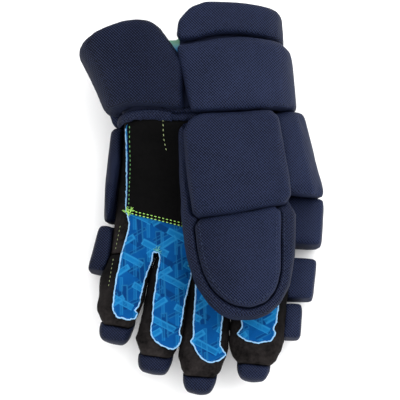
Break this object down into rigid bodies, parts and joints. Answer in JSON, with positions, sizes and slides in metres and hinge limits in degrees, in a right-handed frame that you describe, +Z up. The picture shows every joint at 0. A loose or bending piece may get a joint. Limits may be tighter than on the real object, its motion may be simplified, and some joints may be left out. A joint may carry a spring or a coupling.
{
  "type": "ice hockey glove",
  "caption": "Padded left-hand ice hockey glove lying palm up: hollow cloth hand under foam pads, with a flared, lined cuff.",
  "frame": {"origin": "middle of the footprint, on the surface that the back of the glove rests on", "axes": "+X to the thumb side, +Y from the fingertips to the cuff, +Z up, out of the palm"},
  "size_m": [0.2, 0.3078, 0.1082],
  "materials": {
    "navy_cloth": "matte twill",
    "black_cloth": "matte suede",
    "blue_palm_cloth": "printed suede",
    "cuff_lining": "matte knit"
  },
  "bodies": {
    "root": {"palm_body": "black_cloth", "sleeve_pinky": "black_cloth", "sleeve_ring": "black_cloth", "sleeve_middle": "black_cloth", "sleeve_index": "black_cloth", "palm_face": "blue_palm_cloth", "palm_patch": "black_cloth", "thumb_sleeve": "black_cloth", "thumb_guard": "navy_cloth", "thumb_base_pad": "navy_cloth", "thumb_tip_pad": "navy_cloth", "cuff_lining": "cuff_lining", "wrist_roll": "navy_cloth", "cuff_roll": "navy_cloth", "inner_cuff": "navy_cloth", "wrist_binding": "navy_cloth", "back_pad_pinky": "navy_cloth", "back_pad_centre": "navy_cloth", "back_pad_index": "navy_cloth", "knuckle_pad_pinky": "navy_cloth", "knuckle_pad_ring": "navy_cloth", "knuckle_pad_middle": "navy_cloth", "knuckle_pad_index": "navy_cloth", "finger_pad_pinky": "navy_cloth", "finger_pad_ring": "navy_cloth", "finger_pad_middle": "navy_cloth", "finger_pad_index": "navy_cloth", "far_pad_ring": "navy_cloth", "far_pad_middle": "navy_cloth", "far_pad_index": "navy_cloth", "tip_cap_pinky": "navy_cloth", "tip_cap_ring": "navy_cloth", "tip_cap_middle": "navy_cloth", "tip_cap_index": "navy_cloth"}
  },
  "joints": []
}
